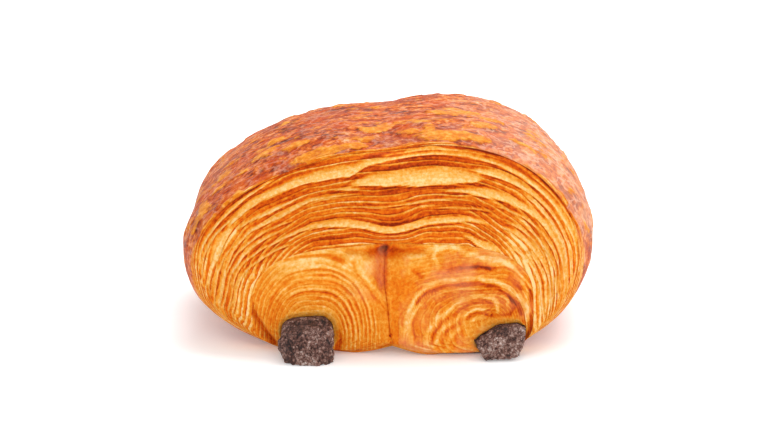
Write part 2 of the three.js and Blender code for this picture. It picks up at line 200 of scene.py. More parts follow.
# Single strokes on the faces of the rolls in front: how much paler, or browner where below
# nothing, their half width, and their course as x and z.
STROKES = [
    (0.30, 0.50, [(2.7, 4), (3.9, 9.2), (5.6, 13.1), (7.7, 14.9), (10.6, 16.2), (14.8, 16.8), (18.5, 17),
        (21.8, 16.2), (24.8, 14.6), (27.3, 12.7), (28.8, 10.1), (29.1, 7.5)]),
    (-0.30, 0.42, [(5.6, 11.4), (7.3, 13.3), (10.6, 14.9), (14.8, 15.7), (18.5, 15.8), (21.9, 14.9),
        (24.8, 13.1), (26.9, 11), (27.6, 8.8)]),
    (0.20, 0.25, [(3.9, 5.8), (4.8, 9.2), (6.8, 12.3), (9.8, 14), (14.3, 14.9), (17.7, 14.6)]),
    (0.28, 0.45, [(7.3, 1.4), (8.1, 5.8), (9.8, 8.4), (12.3, 10.1), (13.9, 11.4), (16.4, 12.7),
        (18.9, 13.1), (21.5, 12.7), (22.5, 11.6), (22.5, 10.1)]),
    (-0.24, 0.30, [(8.5, 2.3), (9.6, 5.8), (11.2, 7.9), (14, 9.9), (16.9, 11.4), (19.8, 12.1),
        (21.5, 11.4)]),
    (-0.26, 0.40, [(25.2, 12.7), (26.3, 11), (25.3, 9.2), (22.7, 8.8), (20.2, 9.2)]),
    (0.22, 0.35, [(23.5, 13.1), (24.8, 12.1), (24.6, 11)]),
    (0.22, 0.35, [(9.8, 3.6), (11, 6.2), (14, 8.4), (16.9, 9.9), (19.8, 10.5)]),
    (-0.20, 0.25, [(11, 2.6), (12, 5.6), (14.6, 7.7), (17.6, 9.1), (20, 9.8)]),
    (0.22, 0.35, [(12.1, 1.9), (12.7, 4.5), (14.8, 6.6), (18.1, 8.4), (20.7, 9)]),
    (-0.24, 0.50, [(25.2, 16.6), (26.4, 15.4), (27.7, 14.4)]),
    (-0.26, 0.40, [(15, 18.6), (18.1, 19.2), (21, 18.7)]),
    (-0.22, 0.50, [(5.2, 18.3), (6.8, 17)]),
    (0.22, 0.45, [(9.5, 23.7), (9.3, 21.3), (10.2, 19.2)]),
    (0.16, 0.60, [(4.3, 21.5), (7.2, 21.7)]),
    (0.22, 0.50, [(10.1, 23), (13.5, 23.2), (16.4, 21.7), (19.7, 20.9), (23.5, 20.4), (26, 18.7),
        (27.7, 16.2), (29, 12.7), (29.4, 9.2)]),
    (0.12, 0.30, [(-8.5, 22.5), (-7, 21), (-6.3, 19.1), (-4, 15.6), (-1.8, 12.9), (-0.6, 11.7)]),
    (-0.14, 0.25, [(-9.2, 21.8), (-7.8, 20.2), (-7, 18.4), (-4.9, 15), (-2.6, 12), (-1, 10.4)]),
    (0.10, 0.70, [(-6.3, 18.3), (-4.4, 16.8), (-3.3, 15.2)]),
    (0.16, 0.60, [(-20.5, 21), (-17.1, 22.2), (-13.4, 22.5), (-10, 22.2), (-8.1, 21)]),
    (0.14, 0.50, [(-21.6, 19.4), (-17.5, 20.4), (-13, 20.6), (-9.4, 19.4)]),
    (-0.18, 0.35, [(-22, 20.2), (-17.4, 21.3), (-13.2, 21.6), (-9.6, 20.6)]),
    # Beside the left stick's right side: partly browner dough, partly painted shade in the gap next to the
    # stick
    (-0.40, 0.70, [(-10.8, 5), (-10.4, 3), (-11, 1)]),
    (-0.70, 0.22, [(0.3, 4.5), (0.5, 4.7)]),
    (-0.50, 0.18, [(-1.6, 1.7), (-1.4, 1.7)]),
    (-0.50, 0.18, [(-6.8, 1), (-6.6, 1)]),
    (-0.22, 0.60, [(12.4, 18.3), (15.6, 19.4), (19, 19.6), (22, 18.6)]),
]
# Creases between the outer sheet and each roll, also painted darker as painted shade: two ends as x and z,
# depth and width.
CREASES = [
    ((-29.4, 10.2), (-24.2, 1.8), 1.3, 0.55),
    ((29.6, 13.5), (29.8, 4.5), 0.6, 0.4),
    ((-8.5, 22.3), (7.0, 22.3), 0.8, 0.6),
]
# The seam between the rolls, from its top to the base, as x and z.
SEAM_LINE = ((-0.9, 22.0), (-1.1, 16.0), (-0.3, 10.0), (0.4, 2.0))
SEAM_PLACE = 0.5085
# Above this height the seam widens into a fold.
SEAM_FOLD = {"z": 13.5, "rise": 2.5}

# How far behind the rim the brown crust starts, by the place round the loaf.
CRUST_START = ([0.0, 0.20, 0.26, 0.30, 0.43, 0.48, 0.53, 0.58, 0.71, 0.76, 0.80, 1.0],
               [0.14, 0.14, 0.07, 0.0, 0.0, 0.035, 0.035, 0.0, 0.0, 0.06, 0.14, 0.14])
# Blisters of the crust that show: x, y, half length and half width.
BLISTERS = [
    (14.5, -3.5, 6, 5), (-15.5, -24.5, 5.5, 2.4), (-20.5, -17, 3.6, 2), (-26.5, -13, 2.4, 2.4),
    (-3.5, -15, 3, 2.2), (13, -23, 7.5, 2.4), (3.5, -19.5, 2.6, 1.6), (20, -15, 3.6, 2.2),
    (-8, -24, 3, 1.4), (22, -8, 3, 2.4), (31, -12, 2.6, 2.6),
    (-24.5, -6, 2, 1.5), (28, -20, 2.5, 1),
]


# Numbers, shapes and noise

def clamp01(t):
    return np.clip(t, 0.0, 1.0)


def smooth(t):
    t = clamp01(t)
    return t * t * (3 - 2 * t)


def bell(t):
    return np.exp(-np.square(t))


def mix(a, b, t):
    return a + (b - a) * t


def window(t, start, rise, stop, fall):
    """One between start and stop, and nothing outside, with a soft rise and fall."""
    return smooth((t - start) / rise) * smooth((stop - t) / fall)


def cell_hash(i, j, k, seed):
    """A repeatable value from -1 to 1 for each whole-number cell."""
    i, j, k = (np.asarray(v).astype(np.int64) for v in (i, j, k))
    h = (i * 374761393 + j * 668265263 + k * 2147483647 + seed * 1274126177) & 0xFFFFFFFF
    h = ((h ^ (h >> 13)) * 1274126177) & 0xFFFFFFFF
    return (h ^ (h >> 16)) / 2147483648.0 - 1.0


def noise(x, y, z, seed):
    """Smooth noise from -1 to 1 in three dimensions."""
    x, y, z = np.broadcast_arrays(np.asarray(x, float), np.asarray(y, float), np.asarray(z, float))
    i, j, k = np.floor(x), np.floor(y), np.floor(z)
    u, v, w = smooth(x - i), smooth(y - j), smooth(z - k)

    def row(b, c):
        return mix(cell_hash(i, j + b, k + c, seed), cell_hash(i + 1, j + b, k + c, seed), u)

    return mix(mix(row(0, 0), row(1, 0), v), mix(row(0, 1), row(1, 1), v), w)


def noise_at(points, size, seed):
    return noise(*np.moveaxis(points / size, -1, 0), seed)


def outline(shape, angle):
    """Points of a lopsided superellipse at angles from +X towards +Z."""
    c, s = np.cos(angle), np.sin(angle)
    power = 2 / np.where(s >= 0, shape["top_power"], shape["base_power"])
    swell = 1 + shape["shoulder"] * bell((angle - SHOULDER["angle"]) / SHOULDER["spread"])
    x = shape["half_width"] * np.sign(c) * np.abs(c) ** power * swell
    z = np.where(s >= 0, shape["rise"], shape["drop"]) * np.sign(s) * np.abs(s) ** power * swell
    return np.stack([shape["x"] + x, shape["z"] + z + shape["lean"] * x * np.maximum(0, s)], -1)


def ring_angles(count):
    """Angles that space points evenly along the belly, from the middle of the base by +X."""
    fine = -np.pi / 2 + np.linspace(0, 2 * np.pi, 4001)
    steps = np.hypot(*np.diff(outline(BELLY, fine), axis=0).T)
    lengths = np.concatenate([[0], np.cumsum(steps)])
    return np.interp(np.arange(count) / count * lengths[-1], lengths, fine)


def profile_power(angle):
    s = np.sin(angle)
    end = np.where(s > 0, PROFILE_POWER["top"], PROFILE_POWER["base"])
    return mix(PROFILE_POWER["side"], end, np.abs(s) ** 1.5)


def rim_share(angle):
    return mix(RIM_SHARE["side"], RIM_SHARE["top"], np.maximum(0, np.sin(angle)) ** 2)


def depth_at(share, power):
    return DOUGH_LENGTH / 2 * np.maximum(0, 1 - share ** power) ** (1 / power)


def share_at(y, power):
    return np.maximum(0, 1 - np.abs(2 * y / DOUGH_LENGTH) ** power) ** (1 / power)


def left_to_right(pair, x):
    return mix(pair["left"], pair["right"], smooth(0.5 + x / 20))


def foot_share(x, z):
    return 2 * left_to_right(FOOT, x) * (1 - smooth(z / FOOT["height"])) / DOUGH_LENGTH


def sheet_points(angles, part, side):
    """A ring of the outer sheet at one end: part 0 is its edge over the rolls, 1 the rim."""
    belly, inner = outline(BELLY, angles), outline(POCKET, angles)
    rim = MIDDLE + (belly - MIDDLE) * rim_share(angles)[:, None]
    inner_share = np.hypot(*(inner - MIDDLE).T) / np.hypot(*(belly - MIDDLE).T)
    share = mix(inner_share, rim_share(angles), part)
    flat = mix(inner, rim, part)
    return np.stack([flat[:, 0], side * depth_at(share, profile_power(angles)), flat[:, 1]], -1)


def crust_points(angles, across):
    """A ring of the crust, from -1 at the front rim to 1 at the back one."""
    power = profile_power(angles)
    y = depth_at(rim_share(angles), power) * across
    flat = MIDDLE + (outline(BELLY, angles) - MIDDLE) * share_at(y, power)[:, None]
    return np.stack([flat[:, 0], y, flat[:, 1]], -1)


def settle(points):
    """The loaf on its surface: flat below, hollow between the rolls, with a valley on top."""
    x, y, z = np.moveaxis(points, -1, 0)
    up = np.maximum(0, z)
    hollow = NOTCH["height"] * clamp01(1 - np.abs(x - NOTCH["x"]) / NOTCH["reach"]) ** 1.5
    valley = VALLEY["depth"] * bell((x - VALLEY["x"]) / VALLEY["reach"]) * smooth(z / 15 - 1.6)
    return np.stack([x, y * (1 + foot_share(x, up)), up + hollow * clamp01(1 - up / 9) - valley], -1)


def end_depth(x, z):
    """How far from the middle of the loaf its bare end lies at a place on it."""
    up = z > MIDDLE[1]
    power = np.where(up, BELLY["top_power"], BELLY["base_power"])
    across = np.abs(x - MIDDLE[0]) / BELLY["half_width"]
    rise = np.abs(z - MIDDLE[1]) / np.where(up, BELLY["rise"], BELLY["drop"])
    share = np.maximum(1e-6, (across ** power + rise ** power) ** (1 / power))
    angle = np.where(up, 1, -1) * np.arcsin(clamp01((rise / share) ** (power / 2)))
    return depth_at(np.minimum(share, 1), profile_power(angle)) * (1 + foot_share(x, z))


def stick_outline(stick, angle, size, grow):
    """The outline of a stick, or of its tunnel where grow is the clearance."""
    c, s = np.cos(angle), np.sin(angle)
    x = (stick["half_width"] * size + grow) * np.sign(c) * np.abs(c) ** (2 / STICK_POWER)
    z = (stick["half_height"] * size + grow) * np.sign(s) * np.abs(s) ** (2 / STICK_POWER)
    cos, sin = math.cos(stick["tilt"]), math.sin(stick["tilt"])
    return stick["x"] + x * cos - z * sin, stick["z"] + z * cos + x * sin


def trimmed(name, x, z):
    """Where a stick and its opening in front are smaller than its outline."""
    if name == "chocolate_left":
        right_side = smooth((x + 14.5) / 3.5) * smooth((z - 0.8) / 1.2)
        return x - 1.6 * right_side, z
    left_slope = smooth((27.5 - x) / 9) * smooth((z - 3.5) / 3)
    right_corner = smooth((x - 22) / 4) * smooth((z - 6) / 2)
    return x, z - 2.3 * left_slope - 1.4 * right_corner


def ledge_depth(x, z):
    return LEDGE["depth"] * bell(x / LEDGE["reach"]) * smooth(z / 8)


def lumps(points):
    return LUMPS["height"] * noise_at(points, LUMPS["size"], LUMP_SEED) * smooth(points[..., 2] / 10)


# Browning and relief of the outer sheet, the crust and the rolls

def flank_lean(x, z):
    """How far to the left the loaf's outermost flanks lean."""
    right, left = (most * bell((z - height) / spread) for most, height, spread in FLANK_LEANS.values())
    return smooth(np.abs(x) / 12 - 2.6) * np.where(x > 0, right, left)


def layer_line(level):
    """One at the start of each layer and nothing inside it."""
    inside = level - np.floor(level)
    return bell(inside / 0.22) + bell((1 - inside) / 0.12)


def segment_distance(x, z, start, stop):
    """How far a place is from a straight line between two others."""
    along_x, along_z = stop[0] - start[0], stop[1] - start[1]
    length = along_x ** 2 + along_z ** 2
    part = clamp01(((x - start[0]) * along_x + (z - start[1]) * along_z) / length)
    return np.hypot(x - start[0] - along_x * part, z - start[1] - along_z * part)


def min_distance(x, z, course):
    """How far a place is from a course of straight lines."""
    return np.min([segment_distance(x, z, start, stop) for start, stop in zip(course, course[1:])], axis=0)


def seam_x(z):
    heights, places = zip(*[(height, place) for place, height in reversed(SEAM_LINE)])
    return np.interp(z, heights, places)


def from_seam(x, z):
    return np.abs(x - seam_x(z))


def in_fold(z):
    return smooth((z - SEAM_FOLD["z"]) / SEAM_FOLD["rise"])


def layer_level(place, part):
    """Which layer of the sheet a place is in."""
    return np.interp(place, *LAYER_COUNTS) * (part - 1 - np.interp(place, *LAYER_SHIFTS))


def sheet_paint(place, part, seed, stray):
    """A sheet's tone, from 0, browned, to 1, pale; its relief; and where its layers run."""
    along = place * ROUND_LENGTH
    dip = 1.7 * bell((place - 0.507) / 0.022) * smooth(1.6 - 2.5 * part)
    level = layer_level(place, part) + dip + 0.5 * noise(place * 16, part * 3, 0, seed)
    level += 0.2 * noise(place * 50, part * 8, 0, seed + 4)
    wavy = part + 0.005 * noise(place * 70, part * 9, 0, seed + 2) + stray * noise(place * 9, 0, 0, seed + 1)
    bent = place + 0.4 * stray * noise(place * 5, part * 2, 0, seed + 3)

    pale, edge, inside, brown = np.zeros((4, *level.shape))
    for layer in PALE_LAYERS:
        places, middles, widths = np.array(layer).T / 100
        fade = window(bent, places[0], 0.014, places[-1], 0.014)
        half = np.interp(bent, places, widths) / 2
        off = wavy - np.interp(bent, places, middles)
        lower, upper = off + half, half - off
        covers = fade * smooth((np.minimum(lower, 0.8 * upper) + 0.008) / 0.015)
        inside = np.where(covers > pale, upper / (2 * half + 0.01), inside)
        pale = np.maximum(pale, covers)
        # A crisp browned line along each pale layer's inner edge, and painted shade along its outer edge,
        # under the layer above
        line = bell((lower + 0.010) / 0.011) + 0.6 * bell((upper + 0.016) / 0.018)
        edge = np.maximum(edge, fade * smooth(half / 0.008) * line)

    for middle, across, length, width, strength in np.array(BROWN_PLACES) / 100:
        brown = np.maximum(brown, strength * bell((bent - middle) / length) * bell((wavy - across) / width))

    low = window(place, 0.16, 0.08, 0.87, 0.08)
    patch = noise(place * 12, part * 4, 0, seed + 5)
    right_side = smooth((0.40 - place) / 0.12) * (1 - 0.3 * smooth((0.27 - place) / 0.04))
    sides = 1.35 * right_side + 0.55 * smooth((place - 0.58) / 0.12)
    right_rim, left_rim = window(place, 0.27, 0.03, 0.45, 0.04), window(place, 0.56, 0.03, 0.74, 0.04)
    # Painted shade along the rim of the upper flanks, under the crust's overhanging edge
    rim_overhang_shade = bell((part - 1) / 0.025) * (right_rim + 0.6 * left_rim)
    tone = 0.55 + 0.17 * sides + 0.07 * patch - 0.38 * edge * low - 0.38 * brown - 0.5 * rim_overhang_shade
    # Pale layers get painted shade towards their outer edge, under the layer above
    tone = mix(tone, 0.77 + 0.16 * smooth(1.6 * inside), pale)
    line = layer_line(level) * low * (1 - pale)
    relief = -0.18 * line + 0.10 * edge * low - pale * (0.10 + 0.25 * smooth(1 - 1.5 * inside)) * low
    relief += 0.12 * noise(level * 0.4, along / 14, 0, seed + 6)
    layered = (0.25 + 0.75 * low) * (1 - 0.85 * pale)
    opened = 0.28 + 0.31 * sides
    return {"tone": tone, "layered": layered, "open": opened, "level": level, "along": along}, relief


def crust_paint(points, place, across, seed):
    """The crust's tone, blisters and relief."""
    x, y, z = np.moveaxis(points, -1, 0)
    along = place * ROUND_LENGTH
    from_rim = 1 - np.abs(across)
    patch = noise_at(points, 7, seed) + 0.7 * noise_at(points, 3, seed + 1)
    streak = noise(along / 6, y / 1.6, 0, seed + 2)
    shoulder = smooth((x - 9 - 5 * patch) / 16) * smooth((z - 16 + 4 * patch) / 12)
    ridge = 1 - np.abs(noise(x / 5 + 0.3 * y, y / 4, z / 6, seed + 4))
    ridge = smooth((ridge - 0.78) / 0.2) * (0.25 + 0.75 * shoulder)
    bubbles = noise(x / 4, y / 3.4, z / 4, seed + 5) + 0.5 * noise(x / 1.8, y / 1.6, z / 1.8, seed + 6)
    blister = 0.9 * smooth((bubbles - 0.25) / 0.4) * (0.5 + 0.5 * bell(from_rim / 0.5))
    ragged = 0.35 * noise(x / 1.6, y / 1.3, z / 1.6, seed + 7)
    for blister_x, blister_y, length, width in BLISTERS:
        off = np.hypot((x - blister_x) / length, (y - blister_y) / width) + ragged
        blister = np.maximum(blister, smooth((1.25 - off) / 0.5) * (z > 20))
    # 0.08 * shoulder is a painted highlight: the right shoulder painted lighter, as if lit from the right
    tone = 0.42 + 0.05 * streak + 0.09 * patch + 0.08 * shoulder
    tone += 0.12 * ridge + 0.05 * smooth(np.abs(x) / 12 - 2)
    level = layer_level(place, 1.0) + from_rim * 36 + 0.5 * noise(along / 14, y / 3, 0, seed + 8)
    relief = 0.05 * streak + 0.24 * ridge - 0.12
    relief += (0.36 * blister + 0.30 * bell((from_rim - 0.02) / 0.03)) * smooth(z / 12 - 1)
    start = np.interp(place, *CRUST_START)
    start = start + 0.020 * noise(along / 5, 0, 0, seed + 9) + 0.014 * noise(along / 1.6, y, 0, seed + 10)
    crust = smooth((from_rim - start) / 0.025)
    tone = mix(0.60 + 0.10 * streak, tone, crust)
    paint = {"tone": tone, "layered": 1 - 0.7 * crust, "open": 0.5, "level": level, "along": along}
    # Mask of the right shoulder's crinkles and of its painted pale pink sheen, growing towards the right
    # edge; on the rolls it carries their rosy tint
    pink_crinkle_and_sheen = shoulder * (0.55 + 0.45 * smooth((x - 18) / 16))
    return {**paint, "crust": crust, "blister": blister, "pink_crinkle_and_sheen": pink_crinkle_and_sheen}, relief


def roll_reach(roll, x, z):
    """How far a place lies from a roll's middle, 1 at the edge, and its angle in degrees."""
    core_x, core_z = roll["core"]
    reach = 1.0
    for _ in range(2):
        off_x = x - mix(core_x, roll["x"], clamp01(reach))
        off_z = z - mix(core_z, roll["z"], clamp01(reach))
        side = np.where(off_x < 0, roll["left"], roll["right"])
        reach = (np.abs(off_x / side) ** roll["power"] + np.abs(off_z / roll["up"]) ** roll["power"])
        reach = reach ** (1 / roll["power"])
    return reach, (np.degrees(np.arctan2(off_z, off_x)) + 90) % 360 - 90


def roll_paint(name, points, part, is_front):
    """A roll's tone and relief, by how its layers lie round its stick."""
    seed, stray = (FRONT if is_front else BACK)["roll"]
    x, _, z = np.moveaxis(points, -1, 0)
    reach, degrees = roll_reach(ROLLS[name], x, z)
    along = degrees * 0.2
    wavy = 0.03 if name == "chocolate_right" else 0.015
    reach += wavy * noise(x / 5, z / 4, 0, seed) + 0.5 * wavy * noise(x / 2, z / 1.5, 0, seed + 3)
    reach += stray * noise(x / 12, z / 12, 0, seed + 1)
    level = ROLL_LAYER_COUNT * reach + 0.4 * noise(x / 7, z / 7, 0, seed + 2)
    seam = from_seam(x, z)
    layered = 0.45 * smooth(seam / 7 - 0.30) * smooth(z / 4 + 0.3)
    layered = np.maximum(layered, 0.5 * smooth(seam / 2 - 0.4) * smooth((11 - z) / 5))

    pale, edge = np.zeros((2, *reach.shape))
    for middle, start, stop, width, strength in ROLL_LAYERS[name]:
        fade = window(degrees, start - 7, 14, stop + 7, 14)
        off = reach - middle
        inside = smooth((width / 2 - np.abs(off) + 0.010) / 0.022)
        line = bell((off + width / 2 + 0.020) / 0.016)
        pale = np.maximum(pale, strength * fade * inside)
        edge = np.maximum(edge, fade * strength * line)

    patch = noise(x / 6, z / 5, 0, seed + 30) + 0.7 * noise(x / 2.2, z / 1.8, 0, seed + 31)
    lumpy = smooth((z - 15) / 5)
    layered *= mix(1, 0.6, lumpy)
    tone = mix(0.63, 0.69, lumpy) + mix(0.06, 0.12, lumpy) * patch - 0.28 * edge - 0.055 * (x > 0.5)
    tone = mix(tone, 0.90, pale * 0.85)
    relief = 0.10 * pale - 0.14 * edge
    if is_front:
        bent_x = x + 0.25 * noise(x / 2, z / 2, 0, seed + 33)
        bent_z = z + 0.25 * noise(x / 2, z / 2, 0, seed + 34)
        for strength, width, course in STROKES:
            near = min_distance(bent_x, bent_z, course)
            near = bell((near / width) ** 2) * (0.8 + 0.3 * noise(x / 1.5, z / 1.5, 0, seed + 35))
            tone += 1.3 * strength * near
            relief += 0.5 * strength * near
            layered *= 1 - 0.6 * near
    beside = bell((seam - 5.0) / 3.2) * smooth((z - 8) / 7)
    left_skin = np.where(x < seam_x(z), 1.0, -0.3)
    tone += (0.10 + 0.08 * patch) * beside * left_skin * (1 - pale)
    # Paler dough at the mouth of each tunnel: partly the smooth pale lip, partly a painted highlight against
    # the shade round the stick
    lip = smooth((part - 0.84) / 0.08)
    tone = mix(tone, 0.76, 0.7 * lip)
    right_base = smooth((4 - z) / 3) * bell((x - 10) / 5)
    left_top = bell((x + 14) / 6) * bell((z - 20) / 2.5)
    tone += 0.12 * right_base + 0.08 * left_top

    # The seam: a thin line low down, and at its top a broad fold and a hollow, both darkened with painted
    # shade
    high = in_fold(z)
    broken = 0.6 + 0.4 * noise(z / 1.5, 0, 0, seed + 36)
    # Painted shade in the broad fold at the seam's top: darker here, and rosy-grey from the tint added
    # further down
    fold = high * bell((x - seam_x(z) + 0.9) / 1.3)
    tone -= mix(0.30, 0.0, high) * broken * bell(seam / 0.14) + 0.20 * fold
    tone -= 0.20 * high * bell((x - seam_x(z) - 0.2) / 0.4)
    # Painted shade in the hollow at the top of the seam
    recess = bell((x + 0.6) / 3.2) * bell((z - 22.0) / 1.1)
    tone -= 0.26 * recess
    layered *= (1 - 0.8 * pale) * (1 - 0.7 * lip)

    relief -= 0.18 * layer_line(level) * layered + recess
    relief += 0.4 * beside + mix(0.10, 0.30, lumpy) * noise(x / 3, z / 2.5, 0, seed + 32)
    for start, stop, depth, width in CREASES:
        near = bell(segment_distance(x, z, start, stop) / width)
        relief -= depth * near
        # Painted shade along the crease
        tone -= 0.18 * near
    right_rosy = (0.45 + 0.9 * smooth((5.5 - z) / 4) + 0.35 * smooth((z - 15) / 3)) * (x > 2)
    rosy = np.maximum(right_rosy, 0.8 * bell((x + 4.5) / 3) * smooth((z - 11) / 3))
    rosy = np.maximum(rosy, 1.2 * fold)
    paint = {"tone": tone, "layered": layered, "open": 0.32, "level": level, "along": along}
    return {**paint, "pink_crinkle_and_sheen": rosy}, relief


# The dough's skin

SHADES = ("tone", "layered", "open", "crust", "blister", "pink_crinkle_and_sheen")


def between(outer, inner):
    """Four-sided faces between two closed loops of points."""
    return np.stack([outer, np.roll(outer, -1), np.roll(inner, -1), inner], -1)


class Skin:
    """Points, faces and paint of the dough, gathered piece by piece."""

    def __init__(self):
        self.points = []
        self.paint = {name: [] for name in (*SHADES, "grain")}
        self.faces = []
        self.count = 0

    def add(self, points, paint, end):
        """Adds points and their paint, and gives back the points' numbers."""
        shape = points.shape[:-1]
        self.points.append(points.reshape(-1, 3))
        for name in SHADES:
            self.paint[name].append(np.broadcast_to(paint.get(name, 0.0), shape).reshape(-1))
        grain = np.broadcast_arrays(paint["level"], paint["along"], np.full(shape, float(end)))
        self.paint["grain"].append(np.stack(grain, -1).reshape(-1, 3))
        first = self.count
        self.count += int(np.prod(shape))
        return np.arange(first, self.count).reshape(shape)

    def strips(self, loops, turned=False):
        """Joins each closed loop of points to the next one."""
        for outer, inner in zip(loops, loops[1:]):
            self.faces.append(between(inner, outer) if turned else between(outer, inner))


def outward(points):
    """Unit normals of a grid of rings that run from the front of the loaf to the back."""
    along_ring = np.roll(points, -1, axis=1) - np.roll(points, 1, axis=1)
    across = np.gradient(points, axis=0)
    normal = np.cross(across, along_ring)
    return normal / np.maximum(np.linalg.norm(normal, axis=-1, keepdims=True), 1e-9)


def push_out(points, relief):
    """Moves a skin's points along its normals, except where it rests on the table."""
    moved = points + outward(points) * (relief * smooth(points[..., 2] / 0.6))[..., None]
    moved[..., 2] = np.maximum(moved[..., 2], 0.0)
    return moved


def roll_depth(x, z, part):
    """How far from the middle of the loaf a roll's face lies, without its layers."""
    off = np.hypot(np.abs(x - NOTCH["x"]) - ROLL_DOME["x"], z - ROLL_DOME["z"]) / ROLL_DOME["radius"]
    bulge = left_to_right(ROLL_BULGE, x) * smooth(1.2 - off)
    top = ledge_depth(x, z) * smooth(z / 6 - 3) * bell(part * 5)
    high = in_fold(z)
    thin = 0.5 * bell(from_seam(x, z) / 0.35)
    wide = SEAM_DEPTH * bell((x - seam_x(z) + 0.6) / 1.2)
    return end_depth(x, z) + bulge - mix(thin, wide, high) - top


def roll_face(skin, name, edge_numbers, edge_points, side):
    """One roll's face, from its edge in to the mouth of its tunnel."""
    stick = STICKS[name]
    is_front = side < 0
    toward = np.arctan2(edge_points[:, 2] - stick["z"], edge_points[:, 0] - stick["x"])
    mouth_x, mouth_z = stick_outline(stick, toward - stick["tilt"], 1, CLEARANCE)
    if is_front:
        mouth_x, mouth_z = trimmed(name, mouth_x, mouth_z)
    part = ((np.arange(ROLL_ROWS) + 1)[:, None] / ROLL_ROWS) ** 1.3
    x = mix(edge_points[:, 0], mouth_x, part)
    z = mix(edge_points[:, 2], mouth_z, part)
    flat = np.stack([x, np.zeros_like(x), z], -1)
    paint, fine = roll_paint(name, flat, part, is_front)
    lip = 0.7 * smooth((part - 0.86) / 0.14) ** 2
    step = np.abs(edge_points[:, 1]) - roll_depth(edge_points[:, 0], edge_points[:, 2], 0)
    depth = roll_depth(x, z, part) + step * (1 - smooth(part / 0.35)) + fine * smooth(part / 0.06) - lip
    numbers = skin.add(np.stack([x, side * depth, z], -1), paint, side * ROLL_SHADES)
    skin.strips([edge_numbers, *numbers], turned=not is_front)
    return numbers[-1], toward - stick["tilt"]


def loaf_belt(skin):
    """The loaf's outside: the outer sheet's two ends and the crust between them."""
    angles = ring_angles(RING)
    place = (np.arange(RING) / RING)[None]
    sheet_parts = np.linspace(0, 1, SHEET_ROWS + 1)
    even = np.linspace(-1, 1, CRUST_ROWS + 1)[1:-1]
    crust_across = mix(even, np.sin(even * np.pi / 2), 0.8)
    front = [sheet_points(angles, part, -1) for part in sheet_parts]
    crust = [crust_points(angles, across) for across in crust_across]
    back = [sheet_points(angles, part, 1) for part in sheet_parts[::-1]]
    base = np.array(front + crust + back)
    rows = len(sheet_parts)
    relief = np.zeros(base.shape[:2])
    stretches = []
    ends = (
        (slice(0, rows), sheet_parts[:, None], FRONT["sheet"]),
        (slice(-rows, None), sheet_parts[::-1, None], BACK["sheet"]),
    )
    for where, part, (seed, stray) in ends:
        paint, fine = sheet_paint(place, part, seed, stray)
        x, z = base[where][..., 0], base[where][..., 2]
        inner = smooth(6 * part)
        relief[where] = fine * inner * smooth(20 - 20 * part) - ledge_depth(x, z) * (1 - inner)
        stretches.append((where, paint, seed))
    middle = slice(rows, -rows)
    across = crust_across[:, None]
    paint, fine = crust_paint(base[middle], place, across, CRUST_SEED)
    relief[middle] = fine * smooth((1 - np.abs(across)) / 0.012)
    stretches.insert(1, (middle, paint, 0))
    points = push_out(settle(base), relief + lumps(base))
    points[..., 0] -= flank_lean(points[..., 0], points[..., 2])
    numbers = np.concatenate([skin.add(points[where], paint, end) for where, paint, end in stretches])
    skin.strips(numbers, turned=True)
    return points, numbers


def seam_points(ring, side):
    """The line between the two rolls, from the top of their pocket to the base."""
    top, bottom = ring[round(SEAM_PLACE * RING)], ring[0]
    part = (np.arange(SEAM_ROWS) + 1)[:, None] / (SEAM_ROWS + 1)
    line = mix(top, bottom, part)
    ease = smooth(part[:, 0] * 8) * smooth((1 - part[:, 0]) * 8)
    line[:, 0] = mix(line[:, 0], seam_x(line[:, 2]), ease)
    line[:, 1] = side * roll_depth(line[:, 0], line[:, 2], 0)
    return line


def dough_skin():
    """The whole dough: its outside, the faces of the rolls and the tunnel walls."""
    skin = Skin()
    points, numbers = loaf_belt(skin)
    mouths = {}
    for side, row in ((-1, 0), (1, -1)):
        ring, ring_numbers = points[row], numbers[row]
        line = seam_points(ring, side)
        height = line[:, 2]
        paint = {"tone": mix(0.30, 0.36, in_fold(height)), "level": height, "along": height}
        line_numbers = skin.add(line, paint, side * ROLL_SHADES)
        top = round(SEAM_PLACE * RING)
        both = ((ring_numbers, line_numbers), (ring, line))
        right = [np.concatenate([around[: top + 1], down]) for around, down in both]
        left = [np.concatenate([around[:1], down[::-1], around[top:]]) for around, down in both]
        for name, edge in (("chocolate_right", right), ("chocolate_left", left)):
            mouths[name, side] = roll_face(skin, name, *edge, side)

    for name, stick in STICKS.items():
        (start, turn), (stop, _) = mouths[name, -1], mouths[name, 1]
        wall_x, wall_z = stick_outline(stick, turn, 1, CLEARANCE)
        walls = [np.stack([wall_x, np.full_like(wall_x, y), wall_z], -1) for y in TUNNEL_RINGS]
        walls = skin.add(np.array(walls), {"tone": 0.3, "level": 0.0, "along": 0.0}, 0)
        skin.strips([start, *walls, stop])
    return skin


def mesh_object(name, points, faces, paint=None):
    """A smooth-shaded object from points in millimetres, faces and values for each point."""
    mesh = bpy.data.meshes.new(name)
    mesh.vertices.add(len(points))
    mesh.vertices.foreach_set("co", (points * MM).astype(np.float32).ravel())
    sizes = np.array([len(face) for face in faces])
    corners = np.concatenate([np.asarray(face) for face in faces])
    mesh.loops.add(len(corners))
    mesh.loops.foreach_set("vertex_index", corners.astype(np.int32))
    mesh.polygons.add(len(faces))
    mesh.polygons.foreach_set("loop_start", (np.cumsum(sizes) - sizes).astype(np.int32))
    mesh.update(calc_edges=True)
    mesh.validate()
    mesh.polygons.foreach_set("use_smooth", np.ones(len(mesh.polygons), bool))
    for key, values in (paint or {}).items():
        kind, field = ("FLOAT_VECTOR", "vector") if values.ndim == 2 else ("FLOAT", "value")
        mesh.attributes.new(key, kind, "POINT").data.foreach_set(field, values.astype(np.float32).ravel())
    made = bpy.data.objects.new(name, mesh)
    scene.collection.objects.link(made)
    return made


# Chocolate sticks

